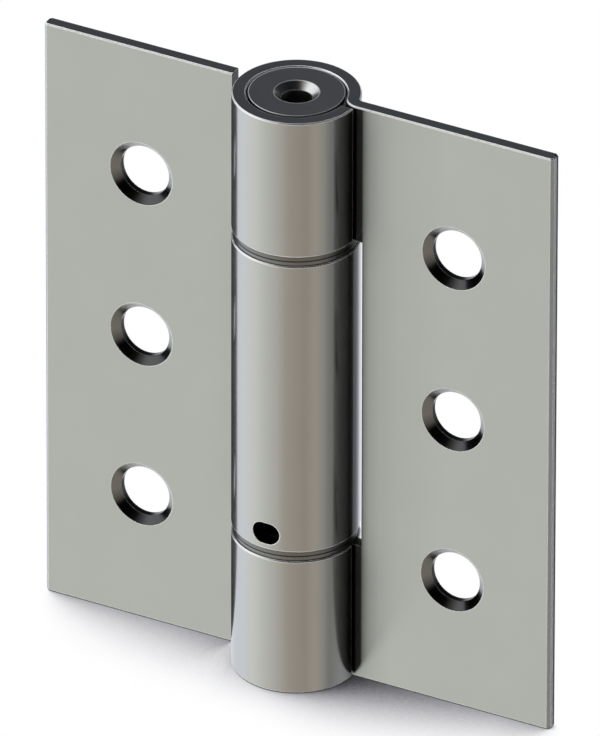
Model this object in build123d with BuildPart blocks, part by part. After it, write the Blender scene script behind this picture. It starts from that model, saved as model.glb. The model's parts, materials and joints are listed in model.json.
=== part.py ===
from build123d import *
import math
import os

# Spring hinge for a light door, shown flat open with its tension pin taken out.
# The pin axis is Z. The leaves lie in the XZ plane with their countersunk faces towards -Y, the frame leaf
# on +X and the door leaf on -X, and the hinge stands on the lower edges of its leaves and barrel.

# Leaves
hinge_height = 102.0
leaf_reach = 44.4  # from the pin axis to the outer edge of a leaf
sheet = 2.2  # thickness of the steel that both leaves are folded from
leaf_setback = 0.15  # leaf fronts behind the pin axis, half the gap of the closed hinge
edge_break = 0.2  # small flat that takes the sharpness off the edges that a hand can reach
side_break = 0.45  # wider flat along the upright edges of a leaf's outer side

# Rolled knuckles
barrel_radius = 10.05
end_knuckle_height = 23.8
root_bend = 0.7  # inner radius of the bend that turns the leaf back into its knuckle
seam_drop = 0.4  # the roll's free end stops this far in front of the pin axis
notch_clearance = 1.35  # from the barrel to the edge of the notch in the other leaf

# Screw holes
screw_reach = 27.3  # from the pin axis to the row of holes
screw_spacing = 28.8
screws_per_leaf = 3
screw_hole_radius = 4.25
countersink_radius = 5.45
countersink_angle = 90.0

# Window for the tension pin, a short slot across the middle knuckle
window_width = 4.7
window_height = 3.7
window_rise = 2.85  # from the lower end of the middle knuckle to the window's centre

# Bearings in the two gaps of the barrel
flange_thickness = 0.75
washer_thickness = 0.8
end_play = 0.05
bearing_inset = 0.3  # flanges and washers stay this far inside the barrel
bush_length = 8.0
journal_radius = 5.0
running_clearance = 0.05
washer_clearance = 0.3
press_clearance = 0.02  # between a pressed-in piece and its knuckle

# End plugs
plug_thickness = 4.0
plug_rim_height = 1.2
plug_rim_gap = 0.35  # narrow ring gap round the flush face of a plug
key_guide_radius = 2.45
key_guide_mouth_radius = 3.55

# Upper pivot
pivot_key_width = 0.8
pivot_key_height = 0.7
pivot_shoulder_gap = 0.5  # from the washer to the pivot's shoulder

# Tension adjuster
collar_clearance = 0.08  # between the collar and the middle knuckle that it turns in
collar_height = 7.4
spigot_height = 2.6
spigot_gap = 0.5  # between the spigot and the coil round it
pin_holes = 6
pin_hole_radius = 1.6
pin_hole_depth = 3.6
hex_across_flats = 4.0
hex_depth = 8.0
adjuster_end_gap = 0.5  # from the lower plug to the adjuster

# Torsion spring, wound from square wire
wire = 2.2
coil_gap = 0.2  # least gap between turns
coil_wall_gap = 0.3  # between the coils and the middle knuckle
coil_end_gap = 1.0  # from the last turn to the upper bush
coil_flats = 12  # flats that stand in for one turn's curve
tang_clearance = 0.25

# Sizes worked out from the ones above
bore_radius = barrel_radius - sheet
press_radius = bore_radius - press_clearance
bearing_radius = barrel_radius - bearing_inset
knuckle_gap = flange_thickness + end_play + washer_thickness
middle_foot = end_knuckle_height + knuckle_gap
middle_top = hinge_height - middle_foot
top_knuckle_foot = hinge_height - end_knuckle_height
notch_edge = barrel_radius + notch_clearance
window_height_from_floor = middle_foot + window_rise
collar_foot = middle_foot + end_play
collar_top = collar_foot + collar_height
spring_foot = collar_top + end_play
spring_top = middle_top - bush_length - coil_end_gap
coil_radius = bore_radius - coil_wall_gap - wire / 2
coil_turns = math.floor((spring_top - spring_foot - wire) / (wire + coil_gap))
coil_pitch = (spring_top - spring_foot - wire) / coil_turns
spigot_radius = coil_radius - wire / 2 - spigot_gap
tang_reach = math.sqrt(spigot_radius**2 - wire**2) - tang_clearance


# Section of a knuckle, seen from above: the sheet comes from the leaf on +X, turns back round a tight bend,
# rolls once round behind the pin axis and stops just short of its own root.
leaf_back = leaf_setback + sheet
bend_centre_y = leaf_back + root_bend
bend_centre_x = math.sqrt((barrel_radius + root_bend) ** 2 - bend_centre_y**2)
bend_centre = (bend_centre_x, bend_centre_y)
root_angle = math.degrees(math.atan2(bend_centre_y, bend_centre_x))
outer_end_angle = math.degrees(math.asin(seam_drop / barrel_radius))
inner_end_angle = math.degrees(math.asin(seam_drop / bore_radius))

with BuildSketch() as knuckle_section:
    with BuildLine():
        back = Line((notch_edge, leaf_back), (bend_centre_x, leaf_back))
        heel = CenterArc(bend_centre, root_bend, -90, root_angle - 90)
        outside = CenterArc((0, 0), barrel_radius, root_angle, 360 - root_angle - outer_end_angle)
        inside = CenterArc((0, 0), bore_radius, -inner_end_angle, inner_end_angle + root_angle - 360)
        free_end = Line(outside @ 1, inside @ 0)
        toe = CenterArc(bend_centre, root_bend + sheet, root_angle - 180, 90 - root_angle)
        front = Line((bend_centre_x, leaf_setback), (notch_edge, leaf_setback))
        strip_end = Line((notch_edge, leaf_setback), (notch_edge, leaf_back))
    make_face()

screw_heights = [
    hinge_height / 2 + (index - (screws_per_leaf - 1) / 2) * screw_spacing for index in range(screws_per_leaf)
]
leaf_front = Plane.XZ.offset(-leaf_setback)


def outer_side_edges(leaf, side):
    """The upright edges of a leaf's outer side."""
    return leaf.faces().filter_by(Axis.X).sort_by(Axis.X)[-1 if side > 0 else 0].edges().filter_by(Axis.Z)


def rim_edges(leaf, side):
    """Edges round a leaf's two ends, apart from its notch, and round the outside of each knuckle's rims."""
    rims = leaf.faces().filter_by(Axis.Z).edges().group_by(Axis.Z)
    ends = rims[0] + rims[-1]
    knuckle_rims = [edge for group in rims[1:-1] for edge in group.filter_by(GeomType.CIRCLE)]
    outsides = [edge for edge in knuckle_rims if edge.radius > bore_radius]
    return [edge for edge in ends if abs(edge.center().X - side * notch_edge) > edge_break] + outsides


# Frame leaf, with the two end knuckles
with BuildPart() as frame_leaf:
    with BuildSketch(Plane.XY):
        with Locations(((notch_edge + leaf_reach) / 2, leaf_setback + sheet / 2)):
            Rectangle(leaf_reach - notch_edge, sheet)
    extrude(amount=hinge_height)
    for foot in (0, top_knuckle_foot):
        with BuildSketch(Plane.XY.offset(foot)):
            add(knuckle_section.sketch)
        extrude(amount=end_knuckle_height)
    chamfer(outer_side_edges(frame_leaf, 1), side_break)
    chamfer(rim_edges(frame_leaf, 1), edge_break)
    with Locations(leaf_front):
        with Locations(*[(screw_reach, height) for height in screw_heights]):
            CounterSinkHole(screw_hole_radius, countersink_radius, counter_sink_angle=countersink_angle)

# Door leaf, with the middle knuckle and the window that the tension pin goes through
with BuildPart() as door_leaf:
    with BuildSketch(Plane.XY):
        with Locations((-(notch_edge + leaf_reach) / 2, leaf_setback + sheet / 2)):
            Rectangle(leaf_reach - notch_edge, sheet)
    extrude(amount=hinge_height)
    with BuildSketch(Plane.XY.offset(middle_foot)):
        add(mirror(knuckle_section.sketch, about=Plane.YZ, mode=Mode.PRIVATE))
    extrude(amount=middle_top - middle_foot)
    chamfer(outer_side_edges(door_leaf, -1), side_break)
    chamfer(rim_edges(door_leaf, -1), edge_break)
    with Locations(leaf_front):
        with Locations(*[(-screw_reach, height) for height in screw_heights]):
            CounterSinkHole(screw_hole_radius, countersink_radius, counter_sink_angle=countersink_angle)
    with BuildSketch(Plane.XZ):
        with Locations((0, window_height_from_floor)):
            SlotOverall(window_width, window_height)
    extrude(amount=2 * barrel_radius, mode=Mode.SUBTRACT)


def end_plug(face, out):
    """Plug pressed into an end knuckle. face is the height of its flush face and out is 1 up or -1 down."""
    rim_radius = press_radius - plug_rim_gap
    with BuildPart() as plug:
        with BuildSketch(Plane.XZ):
            with BuildLine():
                Polyline(
                    (0, face),
                    (rim_radius, face),
                    (rim_radius, face - out * plug_rim_height),
                    (press_radius, face - out * plug_rim_height),
                    (press_radius, face - out * plug_thickness),
                    (0, face - out * plug_thickness),
                    close=True,
                )
            make_face()
        revolve(axis=Axis.Z)
        with Locations(Plane((0, 0, face), z_dir=(0, 0, out))):
            CounterSinkHole(key_guide_radius, key_guide_mouth_radius, counter_sink_angle=countersink_angle)
    return plug.part


top_plug = end_plug(hinge_height, 1)
bottom_plug = end_plug(0, -1)


def flanged_bush(seat):
    """Bush pressed down into the top of a knuckle, with its flange lying on the knuckle's end at seat."""
    bush_bore = journal_radius + running_clearance
    with BuildPart() as bush:
        with BuildSketch(Plane.XY.offset(seat - bush_length)):
            Circle(press_radius)
        extrude(amount=bush_length)
        with BuildSketch(Plane.XY.offset(seat)):
            Circle(bearing_radius)
        extrude(amount=flange_thickness)
        with Locations((0, 0, seat + flange_thickness)):
            Hole(bush_bore)
    return bush.part


lower_bush = flanged_bush(end_knuckle_height)
upper_bush = flanged_bush(middle_top)


def thrust_washer(foot):
    """Flat washer between a flange and the knuckle above it."""
    with BuildPart() as washer:
        with BuildSketch(Plane.XY.offset(foot)):
            Circle(bearing_radius)
            Circle(journal_radius + washer_clearance, mode=Mode.SUBTRACT)
        extrude(amount=washer_thickness)
    return washer.part


lower_washer = thrust_washer(middle_foot - washer_thickness)
upper_washer = thrust_washer(top_knuckle_foot - washer_thickness)

# Upper pivot, pressed into the top knuckle. A rib in the knuckle's seam keeps it from turning, its journal
# carries the upper bush, and the slot across its lower end holds the spring's upper tang.
pivot_foot = spring_top - wire - tang_clearance
pivot_shoulder = top_knuckle_foot + pivot_shoulder_gap
pivot_top = hinge_height - plug_thickness
with BuildPart() as upper_pivot:
    with BuildSketch(Plane.XZ):
        with BuildLine():
            Polyline(
                (0, pivot_foot),
                (journal_radius, pivot_foot),
                (journal_radius, pivot_shoulder),
                (press_radius, pivot_shoulder),
                (press_radius, pivot_top),
                (0, pivot_top),
                close=True,
            )
        make_face()
    revolve(axis=Axis.Z)
    with BuildSketch(Plane.XY.offset(pivot_shoulder)):
        with Locations((bore_radius, pivot_key_width / 2 - seam_drop + running_clearance)):
            Rectangle(2 * pivot_key_height, pivot_key_width)
    extrude(amount=pivot_top - pivot_shoulder)
    with BuildSketch(Plane.XY.offset(pivot_foot)):
        with Locations((0, wire / 2)):
            Rectangle(2 * barrel_radius, wire + 2 * tang_clearance)
    extrude(amount=wire + 2 * tang_clearance, mode=Mode.SUBTRACT)

# Tension adjuster. Its journal turns in the lower bush, its collar turns in the middle knuckle, one of the
# collar's holes stands behind the window, and a hex socket in the lower end takes the key.
adjuster_foot = plug_thickness + adjuster_end_gap
collar_radius = bore_radius - collar_clearance
with BuildPart() as tension_adjuster:
    with BuildSketch(Plane.XZ):
        with BuildLine():
            Polyline(
                (0, adjuster_foot),
                (journal_radius, adjuster_foot),
                (journal_radius, collar_foot),
                (collar_radius, collar_foot),
                (collar_radius, collar_top),
                (spigot_radius, collar_top),
                (spigot_radius, collar_top + spigot_height),
                (0, collar_top + spigot_height),
                close=True,
            )
        make_face()
    revolve(axis=Axis.Z)
    for index in range(pin_holes):
        turn = 2 * math.pi * index / pin_holes - math.pi / 2
        outward = (math.cos(turn), math.sin(turn), 0)
        mouth = (collar_radius * outward[0], collar_radius * outward[1], window_height_from_floor)
        with Locations(Plane(mouth, z_dir=outward)):
            Hole(pin_hole_radius, depth=pin_hole_depth)
    with BuildSketch(Plane.XY.offset(adjuster_foot)):
        RegularPolygon(hex_across_flats / 2, 6, major_radius=False)
    extrude(amount=hex_depth, mode=Mode.SUBTRACT)
    with BuildSketch(Plane.XY.offset(spring_foot - tang_clearance)):
        with Locations((0, -wire / 2)):
            Rectangle(2 * barrel_radius, wire + 2 * tang_clearance)
    extrude(amount=spigot_height + tang_clearance, mode=Mode.SUBTRACT)

# Torsion spring: a right-hand coil of square wire, whose two ends turn in across the axis and lie in the slots
# of the adjuster and the pivot.
def wire_corners(step):
    """Corners of the wire's square section after so many flats of the coil, in order round the section."""
    turn = 2 * math.pi * step / coil_flats
    foot = spring_foot + coil_pitch * step / coil_flats
    inside = coil_radius - wire / 2
    outside = coil_radius + wire / 2
    section = ((inside, foot), (outside, foot), (outside, foot + wire), (inside, foot + wire))
    return [Vector(reach * math.cos(turn), reach * math.sin(turn), height) for reach, height in section]


coil_steps = coil_turns * coil_flats
coil_faces = [Face(Wire.make_polygon(wire_corners(step))) for step in (0, coil_steps)]
for step in range(coil_steps):
    near = wire_corners(step)
    far = wire_corners(step + 1)
    for side in range(4):
        after = (side + 1) % 4
        coil_faces.append(Face(Wire.make_polygon([near[side], near[after], far[after]])))
        coil_faces.append(Face(Wire.make_polygon([near[side], far[after], far[side]])))

with BuildPart() as torsion_spring:
    add(Solid(Shell(coil_faces)))
    tang_length = tang_reach + coil_radius + wire / 4  # past the middle of the wire of the last turn
    for foot, side in ((spring_foot, -1), (spring_top - wire, 1)):
        with BuildSketch(Plane.XY.offset(foot)):
            with Locations((tang_length / 2 - tang_reach, side * wire / 2)):
                Rectangle(tang_length, wire)
        extrude(amount=wire)

os.makedirs("parts", exist_ok=True)
pieces = {
    "frame_leaf": frame_leaf.part,
    "door_leaf": door_leaf.part,
    "top_plug": top_plug,
    "bottom_plug": bottom_plug,
    "upper_bush": upper_bush,
    "lower_bush": lower_bush,
    "upper_washer": upper_washer,
    "lower_washer": lower_washer,
    "upper_pivot": upper_pivot.part,
    "tension_adjuster": tension_adjuster.part,
    "torsion_spring": torsion_spring.part,
}
for name, piece in pieces.items():
    piece.label = name
    export_step(piece, f"parts/{name}.step")
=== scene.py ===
# %% [markdown]
# # A spring hinge in satin steel
#
# A spring hinge closes a door by itself. Two steel leaves are folded round a barrel, and a coil inside the
# barrel is wound up by an adjuster. This lesson dresses the hinge for a studio picture: it places a camera
# and a plain stage, mixes a finish for each metal, smooths each piece, and winds the coil with Geometry
# Nodes.
#
# The solids come from the workshop model. They are right in size and place, so the lesson starts from them
# and never moves them. All lengths below are in metres unless a name says otherwise.

# %% Load the workshop model
import json
import math

import bmesh
import bpy
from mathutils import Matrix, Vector


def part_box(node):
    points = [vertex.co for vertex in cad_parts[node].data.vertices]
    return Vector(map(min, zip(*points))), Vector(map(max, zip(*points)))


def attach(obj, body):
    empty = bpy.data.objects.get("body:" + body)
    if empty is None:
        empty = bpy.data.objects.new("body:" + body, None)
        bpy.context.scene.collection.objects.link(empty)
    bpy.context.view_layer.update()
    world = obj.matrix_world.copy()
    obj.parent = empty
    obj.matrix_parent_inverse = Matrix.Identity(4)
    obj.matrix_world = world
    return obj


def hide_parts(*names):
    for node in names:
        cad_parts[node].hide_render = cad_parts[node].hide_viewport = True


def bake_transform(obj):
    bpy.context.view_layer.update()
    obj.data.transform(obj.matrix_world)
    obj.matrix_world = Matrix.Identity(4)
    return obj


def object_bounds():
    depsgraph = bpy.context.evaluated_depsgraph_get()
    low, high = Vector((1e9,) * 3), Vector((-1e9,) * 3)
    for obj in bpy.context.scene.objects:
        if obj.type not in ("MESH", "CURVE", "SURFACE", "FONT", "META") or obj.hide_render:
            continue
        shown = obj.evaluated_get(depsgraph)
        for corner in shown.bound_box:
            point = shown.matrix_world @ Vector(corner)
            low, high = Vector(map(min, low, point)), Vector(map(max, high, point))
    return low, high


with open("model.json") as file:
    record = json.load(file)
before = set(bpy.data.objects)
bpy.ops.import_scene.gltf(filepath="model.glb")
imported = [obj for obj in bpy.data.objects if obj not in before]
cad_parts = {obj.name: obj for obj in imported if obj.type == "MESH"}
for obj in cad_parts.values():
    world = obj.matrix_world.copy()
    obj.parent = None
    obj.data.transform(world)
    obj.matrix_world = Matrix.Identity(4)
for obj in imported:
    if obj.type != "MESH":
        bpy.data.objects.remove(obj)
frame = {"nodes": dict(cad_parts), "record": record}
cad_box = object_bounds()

MM = 0.001
hinge_height = cad_box[1].z
print("height", round(hinge_height / MM, 1), "mm")

# %% [markdown]
# ## The camera
#
# The picture was taken from the right and from above, with hardly any perspective: edges that are parallel
# on the hinge are parallel in the picture too. An orthographic camera would do that, but the turntable
# views of this scene need a lens. A very long lens far away is the usual answer. Its distance follows from
# the lens and from how many millimetres of hinge the picture is high.

# %% Place the camera
azimuth = math.radians(28.17)
elevation = math.radians(30.54)
roll = math.radians(0.107)
lens = 1300 * MM
sensor = 36 * MM
view_height = 113.69 * MM
aim_height = 52.72 * MM
aim_right = 0.585 * MM

towards_camera = Vector((
    math.sin(azimuth) * math.cos(elevation),
    -math.cos(azimuth) * math.cos(elevation),
    math.sin(elevation),
))
right = Vector((math.cos(azimuth), math.sin(azimuth), 0))
aim = Vector((0, 0, aim_height)) + right * aim_right
distance = view_height * lens / sensor

camera_data = bpy.data.cameras.new("camera")
camera_data.lens = lens / MM
camera_data.sensor_width = sensor / MM
camera_data.clip_start = distance / 10
camera_data.clip_end = distance * 3
camera = bpy.data.objects.new("camera", camera_data)
bpy.context.collection.objects.link(camera)
camera.location = aim + towards_camera * distance
camera.rotation_euler = (-towards_camera).to_track_quat("-Z", "Y").to_euler()
camera.rotation_euler.rotate_axis("Z", roll)
bpy.context.scene.camera = camera
bpy.context.scene.view_settings.view_transform = "Standard"
print("camera", round(distance, 2), "m away")

# %% [markdown]
# ## A small helper for node trees
#
# Every material, and the room round the hinge, is a tree of nodes. Writing each node out takes four or five
# lines, so one helper makes a node, sets its fields and fills its sockets. A socket is filled with a plain
# value, or joined to the output of an earlier node.

# %% Define the node helper
def add_node(tree, kind, fields=None, sockets=None):
    """Makes one node. fields are its own settings, sockets its inputs by name or number."""
    node = tree.nodes.new(kind)
    for name, value in (fields or {}).items():
        setattr(node, name, value)
    for key, value in (sockets or {}).items():
        if isinstance(value, bpy.types.NodeSocket):
            tree.links.new(value, node.inputs[key])
        else:
            node.inputs[key].default_value = value
    return node


def set_ramp(node, stops):
    """Gives a Color Ramp its stops, a list of (position, colour)."""
    ramp = node.color_ramp
    while len(ramp.elements) > 1:
        ramp.elements.remove(ramp.elements[-1])
    ramp.elements[0].position = stops[0][0]
    ramp.elements[0].color = (*stops[0][1], 1)
    for position, colour in stops[1:]:
        ramp.elements.new(position).color = (*colour, 1)


# %% [markdown]
# ## The room that the steel mirrors
#
# Bare steel has almost no colour of its own. What we see on it is the room. A real studio stands pale walls
# and dark cards round a shiny object for this reason: the bright wall on the left gives the barrel its
# broad light band, the warm wall in front gives its brown middle, and the dark ceiling makes the upper
# faces nearly black.
#
# An image of a room could do this, but a picture can't be tuned. Here the World works the room out from the
# direction of each ray: one Color Ramp goes round the walls by compass angle, a second one round the
# ceiling, and the height of the ray mixes the two. Rays that come straight from the camera see plain white.

# %% Build the room
WALLS = [
    (-180, (0.84, 0.85, 0.90)),
    (-128, (0.92, 0.95, 1.02)),
    (-108, (0.98, 1.00, 1.05)),
    (-80, (0.95, 0.95, 0.88)),
    (-56, (0.77, 0.79, 0.72)),
    (-32, (0.67, 0.62, 0.56)),
    (-14, (0.52, 0.47, 0.40)),
    (16, (0.44, 0.39, 0.33)),
    (34, (0.52, 0.47, 0.40)),
    (50, (0.42, 0.40, 0.36)),
    (62, (0.26, 0.26, 0.25)),
    (74, (0.32, 0.32, 0.31)),
    (92, (0.40, 0.40, 0.40)),
    (110, (0.36, 0.36, 0.36)),
    (117, (0.11, 0.11, 0.11)),
    (124, (0.16, 0.16, 0.17)),
    (131, (0.15, 0.15, 0.16)),
    (137, (0.22, 0.22, 0.25)),
    (142, (0.36, 0.36, 0.40)),
    (148, (0.56, 0.56, 0.61)),
    (154, (0.92, 0.92, 0.98)),
    (180, (0.84, 0.85, 0.90)),
]
CEILING = [
    (-180, (0.072, 0.078, 0.085)),
    (-150, (0.12, 0.12, 0.13)),
    (-130, (1.30, 1.30, 1.34)),
    (-84, (1.50, 1.50, 1.50)),
    (-60, (0.60, 0.59, 0.57)),
    (-34, (0.05, 0.045, 0.04)),
    (0, (0.012, 0.012, 0.012)),
    (60, (0.012, 0.013, 0.014)),
    (120, (0.035, 0.038, 0.040)),
    (180, (0.072, 0.078, 0.085)),
]


def compass_stops(table):
    """Turns compass angles, measured from the camera's side, into ramp positions from 0 to 1."""
    return [((angle + 180) / 360, colour) for angle, colour in table]


world = bpy.data.worlds.new("room")
bpy.context.scene.world = world
world.use_nodes = True
room = world.node_tree
room.nodes.clear()
direction = add_node(room, "ShaderNodeTexCoord").outputs["Generated"]
turned = add_node(
    room, "ShaderNodeMapping", {"vector_type": "VECTOR"},
    {"Vector": direction, "Rotation": (0, 0, -azimuth)},
)
parts = add_node(room, "ShaderNodeSeparateXYZ", {}, {0: turned.outputs[0]})
to_front = add_node(room, "ShaderNodeMath", {"operation": "MULTIPLY"}, {0: parts.outputs["Y"], 1: -1.0})
compass = add_node(
    room, "ShaderNodeMath", {"operation": "ARCTAN2"}, {0: parts.outputs["X"], 1: to_front.outputs[0]},
)
around = add_node(
    room, "ShaderNodeMapRange", {}, {"Value": compass.outputs[0], "From Min": -math.pi, "From Max": math.pi},
)
walls = add_node(room, "ShaderNodeValToRGB", {}, {0: around.outputs[0]})
set_ramp(walls, compass_stops(WALLS))
ceiling = add_node(room, "ShaderNodeValToRGB", {}, {0: around.outputs[0]})
set_ramp(ceiling, compass_stops(CEILING))
wall_top = 0.05
ceiling_foot = 0.35
height = add_node(
    room, "ShaderNodeMapRange", {"interpolation_type": "SMOOTHSTEP"},
    {"Value": parts.outputs["Z"], "From Min": wall_top, "From Max": ceiling_foot},
)
mixed = add_node(
    room, "ShaderNodeMix", {"data_type": "RGBA"},
    {"Factor": height.outputs[0], 6: walls.outputs["Color"], 7: ceiling.outputs["Color"]},
)
room_light = add_node(room, "ShaderNodeBackground", {}, {"Color": mixed.outputs[2], "Strength": 1.0})
white_light = add_node(room, "ShaderNodeBackground", {}, {"Color": (1, 1, 1, 1), "Strength": 1.0})
ray = add_node(room, "ShaderNodeLightPath")
either = add_node(
    room, "ShaderNodeMixShader", {},
    {0: ray.outputs["Is Camera Ray"], 1: room_light.outputs[0], 2: white_light.outputs[0]},
)
add_node(room, "ShaderNodeOutputWorld", {}, {"Surface": either.outputs[0]})
print("room with", len(WALLS), "wall stops and", len(CEILING), "ceiling stops")

# %% [markdown]
# ## The floor and the lamps
#
# The hinge stands on a white floor that shows only a soft shadow, close under it. A floor that is lit until
# it is white would need strong lamps, and these would spoil the steel. So the floor shows the camera a
# colour of its own, and an Ambient Occlusion node works out the shadow: it feels how much of the sky over
# each spot is hidden by the hinge. Its sky leans to the back left, which is where the light comes from, so
# the shadow is deepest on the right of the barrel. The steel doesn't mirror the floor, it mirrors the
# walls.
#
# Two wide lamps hang over the hinge for the matt parts of its finish. Wide lamps have soft shadows.

# %% Make the floor and the lamps
floor_size = 6.0
shadow_reach = 26 * MM
light_side = (-0.55, 0.45, 1.0)
SHADOW = [
    (0.20, (0.020, 0.020, 0.022)),
    (0.28, (0.10, 0.10, 0.11)),
    (0.34, (0.28, 0.28, 0.30)),
    (0.40, (0.42, 0.42, 0.44)),
    (0.48, (0.64, 0.64, 0.66)),
    (0.57, (0.80, 0.80, 0.82)),
    (0.66, (0.95, 0.95, 0.96)),
    (0.74, (1.0, 1.0, 1.0)),
]
floor_mesh = bpy.data.meshes.new("floor")
half = floor_size / 2
floor_corners = [(-half, -half, 0), (half, -half, 0), (half, half, 0), (-half, half, 0)]
floor_mesh.from_pydata(floor_corners, [], [(0, 1, 2, 3)])
floor = bpy.data.objects.new("floor", floor_mesh)
bpy.context.collection.objects.link(floor)
floor.visible_glossy = False

paper = bpy.data.materials.new("floor_paper")
paper.use_nodes = True
tree = paper.node_tree
tree.nodes.clear()
towards_light = add_node(tree, "ShaderNodeVectorMath", {"operation": "NORMALIZE"}, {0: light_side})
open_sky = add_node(
    tree, "ShaderNodeAmbientOcclusion", {"samples": 16},
    {"Distance": shadow_reach, "Normal": towards_light.outputs[0]},
)
shade = add_node(tree, "ShaderNodeValToRGB", {}, {0: open_sky.outputs["AO"]})
set_ramp(shade, SHADOW)
white = add_node(tree, "ShaderNodeEmission", {}, {"Color": shade.outputs[0], "Strength": 1.0})
matt = add_node(tree, "ShaderNodeBsdfDiffuse", {}, {"Color": (0.8, 0.8, 0.8, 1)})
ray = add_node(tree, "ShaderNodeLightPath")
seen = add_node(
    tree, "ShaderNodeMixShader", {},
    {0: ray.outputs["Is Camera Ray"], 1: matt.outputs[0], 2: white.outputs[0]},
)
add_node(tree, "ShaderNodeOutputMaterial", {}, {"Surface": seen.outputs[0]})
floor_mesh.materials.append(paper)


def hang_lamp(name, place, size, power):
    """Hangs a square lamp that points at the middle of the hinge and isn't mirrored by the steel."""
    data = bpy.data.lights.new(name, "AREA")
    data.size = size
    data.energy = power
    lamp = bpy.data.objects.new(name, data)
    bpy.context.collection.objects.link(lamp)
    lamp.location = place
    lamp.rotation_euler = (Vector(place) - aim).to_track_quat("Z", "Y").to_euler()
    lamp.visible_glossy = False


lamp_power = 20
hang_lamp("lamp_above", place=(0.25, 0.5, 1.1), size=0.9, power=lamp_power)
hang_lamp("lamp_front", place=(-0.5, -1.0, 0.9), size=0.8, power=lamp_power)
print("stage is ready")

# %% [markdown]
# ## Short names for the sums in a finish
#
# A finish is mostly sums: a value is moved from one range to another, two masks are multiplied, two colours
# are mixed. The same few nodes come up again and again, so each gets a short name that says what it does.

# %% Define short names for common nodes
def mapped(tree, value, span, to_low, to_high):
    """A value moved from the span (low, high) to another one, and kept inside it."""
    return add_node(
        tree, "ShaderNodeMapRange", {},
        {"Value": value, "From Min": span[0], "From Max": span[1], "To Min": to_low, "To Max": to_high},
    ).outputs[0]


def maths(tree, operation, *values):
    """The result of a Math node."""
    return add_node(tree, "ShaderNodeMath", {"operation": operation}, dict(enumerate(values))).outputs[0]


def times(tree, first, second):
    """Two values multiplied."""
    return maths(tree, "MULTIPLY", first, second)


def near(tree, value, middle, reach):
    """One where a value is within reach of the middle, and zero elsewhere."""
    return maths(tree, "COMPARE", value, middle, reach)


def beyond(tree, value, limit):
    """One where a value is over the limit, and zero elsewhere."""
    return maths(tree, "GREATER_THAN", value, limit)


def blended(tree, factor, first, second):
    """One colour mixed with another."""
    sockets = {"Factor": factor, 6: first, 7: second}
    return add_node(tree, "ShaderNodeMix", {"data_type": "RGBA"}, sockets).outputs[2]


def noise(tree, vector, scale, detail, roughness):
    """The value of a Noise Texture."""
    return add_node(
        tree, "ShaderNodeTexNoise", {},
        {"Vector": vector, "Scale": scale, "Detail": detail, "Roughness": roughness},
    ).outputs[0]


def along_axes(tree, vector):
    """The three parts of a vector, by the names X, Y and Z."""
    return add_node(tree, "ShaderNodeSeparateXYZ", {}, {0: vector}).outputs


# %% [markdown]
# ## Steel that has been handled, with painted light and shade
#
# The leaves are rolled sheet with a satin finish. Close up such steel isn't one flat colour: it has a fine
# grain from the rollers, patches that are a little duller, and edges rubbed bright, which are also a painted
# highlight. Corners get a painted shade. Painting all this on an image would need a flat unwrapping of every
# piece. Procedural textures in Object coordinates need none, and have the same scale on every piece, so one
# function mixes every metal of the hinge.
#
# The grain is noise, and on the leaves it is stretched along one axis. Edges are found by comparing the true
# normal with one that the Bevel node has rounded: a rubbed edge is brighter and less like a mirror, partly
# as wear and partly as a painted highlight, but round the faces that look up a painted shade makes a dark
# line instead. Undersides are rubbed bright too, apart from a painted shadow line where the hinge stands on
# the floor. Corners get a painted shade, which the Ambient Occlusion node finds.
#
# Steel that is mirrored in steel has lost most of its light, and in the picture it is black: the right leaf
# is the black band on the barrel. The Light Path node knows when a ray has come from a mirror, so it
# darkens the steel for those rays alone.

# %% Name the marks that every metal has
# Rubbed edges are pale, and this colour also paints a highlight on them.
RUBBED_AND_HIGHLIT = (0.90, 0.90, 0.91, 1)
# Painted shade: a near-black colour put where shade falls, in corners, in holes, along edge lines, beside
# the barrel and where the hinge stands.
PAINTED_SHADE = (0.015, 0.015, 0.017, 1)
BLACK = (0, 0, 0, 1)
NOISE_SPAN = (0.3, 0.7)  # nearly all noise values lie between these
EDGE_SPAN = (0.995, 0.94)  # likeness of the true and the rounded normal, where an edge begins and is full
LOOKS_UP = (0.85, 0.95)  # height of a normal, from upright faces to those that look up
LOOKS_DOWN = (-0.4, -0.6)  # the same for undersides
# The next span sets where the painted corner shade begins and ends.
OPEN_SPAN = (0.45, 0.95)  # open sky over a spot, from a deep corner to a clean face
edge_radius = 0.25 * MM
patch_scale = 0.09 / MM
patch_drift = 0.02  # how far the roughness drifts over the patches
grain_drift = 0.015  # and along the grain
tint_drift = 0.015
rubbed_drift = 0.25  # rubbed steel is this much rougher
rubbed_metal = 0.3  # and has this share of its mirror left
foot_height = 1 * MM
underside_rub = 0.95
second_hand = 0.06  # what is left of steel's brightness in another mirror

# %% [markdown]
# ## Marks on the leaves
#
# Some marks of a leaf have a fixed place, so its coordinates find them, and no mask has to be painted. The
# outer sides were sheared from the sheet: they are bright, partly from the cut and partly as painted light,
# they have a painted shade line along the rear, and the corners filed along them get a painted bluish
# reflection. The walls of the screw holes are cut and not rolled, and get a painted shade, most of all where
# they look up. The frame leaf also gets a painted shade beside the barrel. The shade is darkest at the root
# and fades across the leaf, and it leaves the lowest corner free. The door leaf gets no such shade there,
# and the painted corner shade fades out on it.

# %% Define the marks of a leaf
# Painted reflection: a bluish colour on the corners along the outer sides.
BLUE_REFLECTION = (0.40, 0.44, 0.50, 1)
# The sheared sides are pale from the cut, and lightened further as painted light.
sheared_and_lit_amount = 0.42
# Painted shade: a dark line along the rear of the outer sides.
rear_line = 0.85
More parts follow.
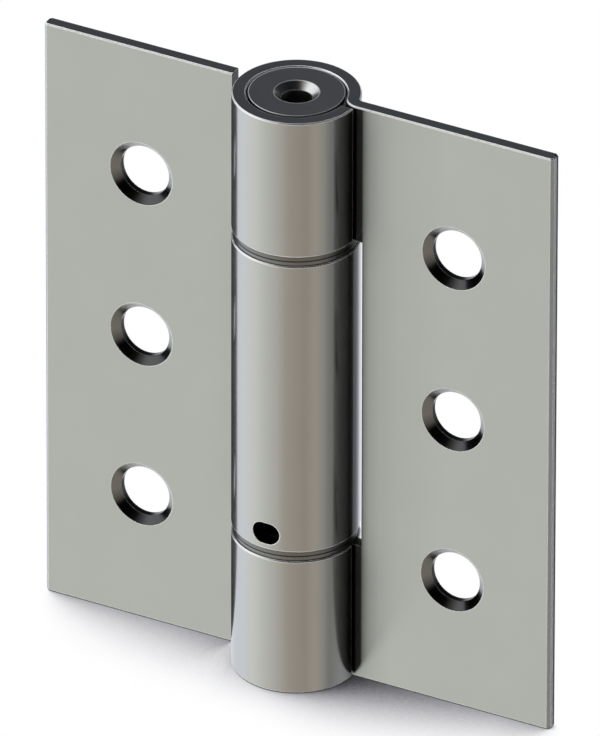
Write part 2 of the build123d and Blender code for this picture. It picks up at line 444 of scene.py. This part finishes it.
# Painted shade on the walls of the screw holes, strongest on the parts that look up.
hole_foot_shade = 0.9
FOOT_SPAN = (0.1, 0.45)  # height of the normal on a hole's wall, from its sides to its foot
side_facing = 0.8  # sideways part of a side's normal, at least
corner_facing = 0.7  # and of a filed corner's
wall_facing = 0.9  # front part of the normal on a hole's wall, at most
facing_reach = 0.1  # how exactly a normal has to point
side_start = 43.9 * MM
rear_start = 1.4 * MM
hole_reach = 27.3 * MM
hole_zone = 8 * MM
hole_margin = 5 * MM
root_start = 10 * MM
root_end = 30 * MM
ROOT_SLOPES = (1.1, 1.9)  # height over distance from the root, where the shade begins and is full
ROOT_FADE = [
    (0.0, 0.0),
    (0.062, 0.95),
    (0.078, 0.58),
    (0.09, 0.48),
    (0.135, 0.28),
    (0.22, 0.17),
    (0.4, 0.07),
    (0.8, 0.0),
]
root_shade = [(place, (amount, amount, amount)) for place, amount in ROOT_FADE]
# The painted corner shade fades out on the door leaf.
CORNER_SHADE_FADE = (-10.5 * MM, -9 * MM)  # from the door leaf to the barrel
door_leaf_shade_share = 0.12
shade_end = root_start + ROOT_FADE[-1][0] * (root_end - root_start)
print("the shade on the frame leaf ends", round(shade_end / MM), "mm from the pin axis")


def leaf_marks(tree, base, spot, facing, upright, hole_shade):
    """The base colour with the painted bluish reflection on the filed corners, the painted shade line at the
    rear, and the painted shade on the holes' walls and beside the root.
    """
    across = maths(tree, "ABSOLUTE", spot["X"])
    outer = beyond(tree, across, side_start)
    # Painted bluish reflection on the corners along the outer sides.
    slanting = near(tree, maths(tree, "ABSOLUTE", facing["X"]), corner_facing, facing_reach)
    base = blended(tree, times(tree, outer, slanting), base, BLUE_REFLECTION)
    # Painted shade along the rear of the outer sides.
    rear = times(tree, outer, beyond(tree, spot["Y"], rear_start))
    base = blended(tree, times(tree, rear, rear_line), base, PAINTED_SHADE)

    # Painted shade on the walls of the screw holes.
    in_row = near(tree, spot["Z"], hinge_height / 2, hinge_height / 2 - hole_margin)
    off_face = near(tree, facing["Y"], 0.0, wall_facing)
    drilled = times(tree, times(tree, near(tree, across, hole_reach, hole_zone), off_face), in_row)
    shaded_wall = mapped(tree, upright, FOOT_SPAN, hole_shade, hole_foot_shade)
    base = blended(tree, times(tree, drilled, shaded_wall), base, PAINTED_SHADE)

    # Painted shade on the frame leaf beside the barrel, fading across the leaf.
    root_place = mapped(tree, spot["X"], (root_start, root_end), 0.0, 1.0)
    root = add_node(tree, "ShaderNodeValToRGB", {}, {0: root_place})
    set_ramp(root, root_shade)
    slope = maths(tree, "DIVIDE", spot["Z"], maths(tree, "SUBTRACT", spot["X"], root_start))
    shaded = times(tree, root.outputs[0], mapped(tree, slope, ROOT_SLOPES, 0.0, 1.0))
    on_front = near(tree, facing["Y"], -1.0, facing_reach)
    return blended(tree, times(tree, shaded, on_front), base, PAINTED_SHADE)


# %% [markdown]
# ## One function for every metal
#
# The function builds the tree of one finish from left to right: first the noise for grain and patches, then
# the masks for bright and dark marks, then the colour, and at last the shader. The arguments say how strong
# each mark is, so six calls give six metals that belong together.

# %% Define the metal finish
def metal(
    name, colour, roughness, grain_scale, grain_depth, grain_stretch=(1.0, 1.0, 1.0),
    wear_and_highlight=(0.8, 0.0), edge_shade=(0.0, 1.0), corner_shade=0.0, corner_shade_reach=7 * MM, between=False, hole_shade=0.0,
):
    """A bare metal. grain_scale is in waves per millimetre, and grain_depth in metres.

    grain_stretch is smaller than one along an axis on which the grain is long. wear_and_highlight brightens
    edges, as wear and as a painted highlight, and edge_shade blackens them with a painted shade, each with
    one amount for upright faces and one for faces that look up. corner_shade darkens corners within
    corner_shade_reach with a painted shade, also those between two pieces if between is set. hole_shade is
    for leaves alone, and paints shade on the walls of their screw holes.
    """
    material = bpy.data.materials.new(name)
    material.use_nodes = True
    tree = material.node_tree
    tree.nodes.clear()
    coordinates = add_node(tree, "ShaderNodeTexCoord").outputs
    place = coordinates["Object"]
    spot = along_axes(tree, place)
    facing = along_axes(tree, coordinates["Normal"])

    stretch = [amount / MM for amount in grain_stretch]
    in_mm = add_node(tree, "ShaderNodeMapping", {}, {"Vector": place, "Scale": stretch}).outputs[0]
    grain = noise(tree, in_mm, grain_scale, detail=3.0, roughness=0.6)
    cloud = noise(tree, place, patch_scale, detail=4.0, roughness=0.55)
    dull = mapped(tree, cloud, NOISE_SPAN, roughness - patch_drift, roughness + patch_drift)
    even = maths(tree, "ADD", dull, mapped(tree, grain, NOISE_SPAN, -grain_drift, grain_drift))

    rounded = add_node(tree, "ShaderNodeBevel", {"samples": 6}, {"Radius": edge_radius}).outputs[0]
    true_normal = add_node(tree, "ShaderNodeNewGeometry").outputs["Normal"]
    likeness = add_node(
        tree, "ShaderNodeVectorMath", {"operation": "DOT_PRODUCT"}, {0: rounded, 1: true_normal},
    ).outputs["Value"]
    edge = mapped(tree, likeness, EDGE_SPAN, 0.0, 1.0)
    upright = along_axes(tree, true_normal)["Z"]
    underneath = mapped(tree, upright, LOOKS_DOWN, 0.0, underside_rub)
    # Painted shadow: a dark line on the undersides where the hinge stands on the floor.
    floor_shadow_line = times(tree, underneath, near(tree, spot["Z"], 0.0, foot_height))
    # Sheared outer sides, lightened partly as painted light.
    outer = beyond(tree, maths(tree, "ABSOLUTE", spot["X"]), side_start)
    outer_side = times(tree, outer, beyond(tree, maths(tree, "ABSOLUTE", facing["X"]), side_facing))
    sheared_and_lit = times(tree, outer_side, sheared_and_lit_amount)
    # Bright marks: edges that are rubbed and also given a painted highlight, sheared sides lightened partly
    # as painted light, and rubbed undersides.
    rubbed_and_highlit = maths(tree, "MAXIMUM", edge, maths(tree, "MAXIMUM", sheared_and_lit, underneath))
    bright = times(tree, rubbed_and_highlit, mapped(tree, upright, LOOKS_UP, *wear_and_highlight))
    # Painted shade: a dark line along the edges round faces that look up.
    lined = times(tree, edge, mapped(tree, upright, LOOKS_UP, *edge_shade))
    dark = maths(tree, "MAXIMUM", lined, floor_shadow_line)

    tint = mapped(tree, cloud, NOISE_SPAN, 1 - tint_drift, 1 + tint_drift)
    tinted = add_node(
        tree, "ShaderNodeVectorMath", {"operation": "SCALE"}, {0: colour, "Scale": tint},
    ).outputs[0]
    base = blended(tree, bright, tinted, RUBBED_AND_HIGHLIT)
    base = blended(tree, dark, base, PAINTED_SHADE)
    # Painted shade in corners, and between pieces where that is set, found by the Ambient Occlusion node.
    if corner_shade:
        open_sky = add_node(
            tree, "ShaderNodeAmbientOcclusion", {"samples": 8, "only_local": not between},
            {"Distance": corner_shade_reach},
        ).outputs["AO"]
        corner = mapped(tree, open_sky, OPEN_SPAN, corner_shade, 0.0)
        corner = times(tree, corner, mapped(tree, spot["X"], CORNER_SHADE_FADE, door_leaf_shade_share, 1.0))
        base = blended(tree, corner, base, PAINTED_SHADE)
    if hole_shade:
        base = leaf_marks(tree, base, spot, facing, upright, hole_shade)
    mirrored = add_node(tree, "ShaderNodeLightPath").outputs["Is Glossy Ray"]
    first_hand = mapped(tree, mirrored, (0.0, 1.0), 1.0, second_hand)

    relief = add_node(
        tree, "ShaderNodeBump", {},
        {"Height": grain, "Distance": grain_depth, "Strength": 1.0, "Normal": rounded},
    )
    shader = add_node(
        tree, "ShaderNodeBsdfPrincipled", {},
        {"Base Color": blended(tree, first_hand, BLACK, base),
         "Metallic": times(tree, first_hand, mapped(tree, bright, (0.0, 1.0), 1.0, rubbed_metal)),
         "Roughness": maths(tree, "ADD", even, times(tree, bright, rubbed_drift)),
         "Specular IOR Level": times(tree, first_hand, 0.5),
         "Normal": relief.outputs[0]},
    )
    add_node(tree, "ShaderNodeOutputMaterial", {}, {"Surface": shader.outputs[0]})
    return material


# %% [markdown]
# ## A finish for each material
#
# The leaves and plugs are the same satin sheet steel. The bushes and washers are ground. Their rims stand a
# little behind the barrel's, in a gap that keeps light out, so their colour is painted darker as shade. The
# adjuster and the pivot are turned on a lathe, so their grain runs round them in fine rings, and they are
# blackened and painted near black as shade: behind the window there is nothing to see but black. The spring
# is dark with oil.

# %% Mix the finishes
STEEL = (0.56, 0.57, 0.57)
NONE = (0.0, 0.0)
ground_rim = {
    "grain_scale": 3.0,
    "grain_depth": 0.0003 * MM,
    "wear_and_highlight": NONE,
    "edge_shade": (0.9, 1.0),
    "corner_shade": 1.0,
    "corner_shade_reach": 0.8 * MM,
    "between": True,
}
finishes = {
    "leaf_steel": metal(
        "satin_sheet_steel", STEEL, roughness=0.17, grain_scale=2.2, grain_depth=0.00012 * MM,
        grain_stretch=(0.25, 1.0, 1.0), corner_shade=0.85, hole_shade=0.5,
    ),
    "plug_steel": metal(
        "satin_plug_steel", STEEL, roughness=0.24, grain_scale=2.5, grain_depth=0.0001 * MM,
        wear_and_highlight=(0.25, 0.3), edge_shade=NONE,
    ),
    # The bushes and washers are painted darker than the barrel as the shade of their gap.
    "bush_steel": metal("ground_bush_steel", (0.28, 0.285, 0.285), roughness=0.28, **ground_rim),
    "washer_steel": metal("ground_washer_steel", (0.26, 0.26, 0.26), roughness=0.3, **ground_rim),
    # Near black: a blackened finish, and painted shade for the inside seen through the window.
    "turned_steel": metal(
        "blackened_and_shaded_turned_steel", (0.03, 0.03, 0.032), roughness=0.35, grain_scale=6.0,
        grain_depth=0.001 * MM, grain_stretch=(0.1, 0.1, 1.0), wear_and_highlight=NONE,
    ),
    "spring_steel": metal(
        "oiled_spring_steel", (0.22, 0.22, 0.23), roughness=0.32, grain_scale=1.6, grain_depth=0.001 * MM,
    ),
}
print("finishes:", ", ".join(sorted(finishes)))

# %% [markdown]
# ## Smooth solids from loose triangles
#
# A workshop solid arrives as loose triangles, each with its own corners, and flat shading. On polished
# steel each one would show. Building the pieces again by hand would risk their fit, so each one is copied
# instead. The copy is merged into a closed skin, flat areas are joined into single faces, and edges sharper
# than a limit are marked. A Weighted Normal modifier then makes each vertex lean on its largest face, which
# keeps the large flat faces of a leaf truly flat where they run into the roll of a knuckle.

# %% Define how a piece is dressed
merge_distance = 0.002 * MM
flat_angle = math.radians(0.5)
sharp_angle = math.radians(28)
sharp_angle_of_wire = math.radians(38)


def smooth_skin(skin, limit):
    """Smooths all faces, keeps edges sharper than the limit, and counts the open edges."""
    for face in skin.faces:
        face.smooth = True
    for edge in skin.edges:
        edge.smooth = len(edge.link_faces) == 2 and edge.calc_face_angle() < limit
    return sum(not edge.is_manifold for edge in skin.edges)


def dress(node, body, slot):
    """Makes a smooth copy of one CAD node, in its finish and riding on its body."""
    mesh = frame["nodes"][node].data.copy()
    mesh.name = node + "_skin"
    skin = bmesh.new()
    skin.from_mesh(mesh)
    bmesh.ops.remove_doubles(skin, verts=skin.verts, dist=merge_distance)
    bmesh.ops.dissolve_limit(skin, angle_limit=flat_angle, verts=skin.verts, edges=skin.edges)
    open_edges = smooth_skin(skin, sharp_angle)
    skin.to_mesh(mesh)
    skin.free()
    mesh.materials.clear()
    mesh.materials.append(finishes[slot])
    piece = bpy.data.objects.new(node + "_piece", mesh)
    bpy.context.collection.objects.link(piece)
    lean = piece.modifiers.new("lean_on_largest_face", "WEIGHTED_NORMAL")
    lean.mode = "FACE_AREA"
    lean.keep_sharp = True
    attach(piece, body)
    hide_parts(node)
    print(node, "has", len(mesh.polygons), "faces and", open_edges, "open edges")


# %% [markdown]
# ## The pieces of the hinge
#
# The record of the model lists each piece with its material slot, and each body with its pieces. Reading
# both from there keeps this script and the model in step. The coil is left out, because it gets a form of
# its own.

# %% Dress every piece but the coil
slot_of = {part["node"]: part["material_slot"] for part in frame["record"]["subparts"]}
body_of = {node: body for body, nodes in frame["record"]["behaviour"]["bodies"].items() for node in nodes}
for node in sorted(slot_of):
    if node != "torsion_spring":
        dress(node, body_of[node], slot_of[node])

# %% [markdown]
# ## The torsion spring
#
# The spring is one length of square wire: a tang across the axis, a tight bend, thirteen turns, and the
# same again at the other end. A shape like this follows a rule, and Geometry Nodes are made for rules. The
# tree draws the path from three primitives, a line, an arc and a spiral, joins them, and runs a square with
# soft corners along it. Zup normals keep the wire upright all the way. The sizes are named inputs. Height
# and radius are read from the solid that this coil stands for, so the coil fits into the same room.

# %% Read the spring's sizes
low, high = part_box("torsion_spring")
wire = 2.2 * MM
outer_radius = -low.y
coil_radius = outer_radius - wire / 2
turns = 13
bend_radius = 0.58 * wire
tang_reach = 4.1 * MM
spring_sizes = {
    "Foot": low.z + wire / 2,
    "Rise": high.z - low.z - wire,
    "Turns": float(turns),
    "Coil radius": coil_radius,
    "Bend radius": bend_radius,
    "Tang reach": tang_reach,
    "Wire": wire,
    "Corner radius": 0.3 * MM,
}
lengths = {name: round(value / MM, 2) for name, value in spring_sizes.items() if name != "Turns"}
print("spring with", turns, "turns, lengths in mm:", lengths)

# %% Build the tree that winds the coil
coil_tree = bpy.data.node_groups.new("wind_coil", "GeometryNodeTree")
coil_tree.is_modifier = True
coil_tree.interface.new_socket(name="Geometry", in_out="OUTPUT", socket_type="NodeSocketGeometry")
size_sockets = {
    name: coil_tree.interface.new_socket(name=name, in_out="INPUT", socket_type="NodeSocketFloat")
    for name in spring_sizes
}
size = add_node(coil_tree, "NodeGroupInput").outputs


def vector(x, y, z):
    """A vector from three sizes in the coil's tree."""
    return add_node(coil_tree, "ShaderNodeCombineXYZ", {}, {0: x, 1: y, 2: z}).outputs[0]


spiral = add_node(
    coil_tree, "GeometryNodeCurveSpiral", {},
    {"Resolution": 64, "Rotations": size["Turns"], "Start Radius": size["Coil radius"],
     "End Radius": size["Coil radius"], "Height": size["Rise"]},
)
bend_middle = maths(coil_tree, "SUBTRACT", size["Coil radius"], size["Bend radius"])
minus_bend = times(coil_tree, size["Bend radius"], -1.0)
minus_reach = times(coil_tree, size["Tang reach"], -1.0)
tang = add_node(
    coil_tree, "GeometryNodeCurvePrimitiveLine", {},
    {"Start": vector(minus_reach, minus_bend, 0.0), "End": vector(bend_middle, minus_bend, 0.0)},
)
arc = add_node(
    coil_tree, "GeometryNodeCurveArc", {},
    {"Resolution": 10, "Radius": size["Bend radius"],
     "Start Angle": -math.pi / 2, "Sweep Angle": math.pi / 2},
)
arc_placed = add_node(
    coil_tree, "GeometryNodeTransform", {},
    {"Geometry": arc.outputs[0], "Translation": vector(bend_middle, 0.0, 0.0)},
)
lower_end = add_node(coil_tree, "GeometryNodeJoinGeometry")
coil_tree.links.new(tang.outputs[0], lower_end.inputs[0])
coil_tree.links.new(arc_placed.outputs[0], lower_end.inputs[0])
upper_end = add_node(
    coil_tree, "GeometryNodeTransform", {},
    {"Geometry": lower_end.outputs[0], "Translation": vector(0.0, 0.0, size["Rise"]), "Scale": (1, -1, 1)},
)
joined = add_node(coil_tree, "GeometryNodeJoinGeometry")
for part in (lower_end, spiral, upper_end):
    coil_tree.links.new(part.outputs[0], joined.inputs[0])
chain = add_node(coil_tree, "GeometryNodeCurveToMesh", {}, {"Curve": joined.outputs[0]})
merged = add_node(
    coil_tree, "GeometryNodeMergeByDistance", {}, {"Geometry": chain.outputs[0], "Distance": 0.01 * MM},
)
path = add_node(coil_tree, "GeometryNodeMeshToCurve", {}, {"Mesh": merged.outputs[0]})
raised = add_node(
    coil_tree, "GeometryNodeTransform", {},
    {"Geometry": path.outputs[0], "Translation": vector(0.0, 0.0, size["Foot"])},
)
upright = add_node(coil_tree, "GeometryNodeSetCurveNormal", {"mode": "Z_UP"}, {"Curve": raised.outputs[0]})
square = add_node(
    coil_tree, "GeometryNodeCurvePrimitiveQuadrilateral", {"mode": "RECTANGLE"},
    {"Width": size["Wire"], "Height": size["Wire"]},
)
soft_square = add_node(
    coil_tree, "GeometryNodeFilletCurve", {"mode": "POLY"},
    {"Curve": square.outputs[0], "Count": 3, "Radius": size["Corner radius"]},
)
wire_skin = add_node(
    coil_tree, "GeometryNodeCurveToMesh", {},
    {"Curve": upright.outputs[0], "Profile Curve": soft_square.outputs[0], "Fill Caps": True},
)
made_real = add_node(coil_tree, "GeometryNodeRealizeInstances", {}, {0: wire_skin.outputs[0]})
finished = add_node(
    coil_tree, "GeometryNodeSetMaterial", {},
    {"Geometry": made_real.outputs[0], "Material": finishes["spring_steel"]},
)
add_node(coil_tree, "NodeGroupOutput", {}, {0: finished.outputs[0]})
print("tree with", len(coil_tree.nodes), "nodes")

# %% [markdown]
# ## From the tree to a plain mesh
#
# A modifier needs an object to sit on, so the tree gets an empty mesh for a carrier. Its inputs are set by
# the identifiers of their sockets before the object is evaluated for the first time. The evaluated result
# is then copied to a plain mesh, because a part that leaves Blender has to be one, and the carrier is
# deleted.

# %% Wind the coil
carrier = bpy.data.objects.new("coil_carrier", bpy.data.meshes.new("coil_carrier"))
bpy.context.collection.objects.link(carrier)
winding = carrier.modifiers.new("winding", "NODES")
winding.node_group = coil_tree
for name, value in spring_sizes.items():
    winding[size_sockets[name].identifier] = value
evaluated = carrier.evaluated_get(bpy.context.evaluated_depsgraph_get())
coil_mesh = bpy.data.meshes.new_from_object(evaluated)
coil_mesh.name = "torsion_coil"
bpy.data.objects.remove(carrier)

skin = bmesh.new()
skin.from_mesh(coil_mesh)
bmesh.ops.recalc_face_normals(skin, faces=skin.faces)
open_edges = smooth_skin(skin, sharp_angle_of_wire)
skin.to_mesh(coil_mesh)
skin.free()

coil = bpy.data.objects.new("torsion_coil", coil_mesh)
bpy.context.collection.objects.link(coil)
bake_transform(coil)
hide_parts("torsion_spring")
print("coil has", len(coil_mesh.polygons), "faces and", open_edges, "open edges")
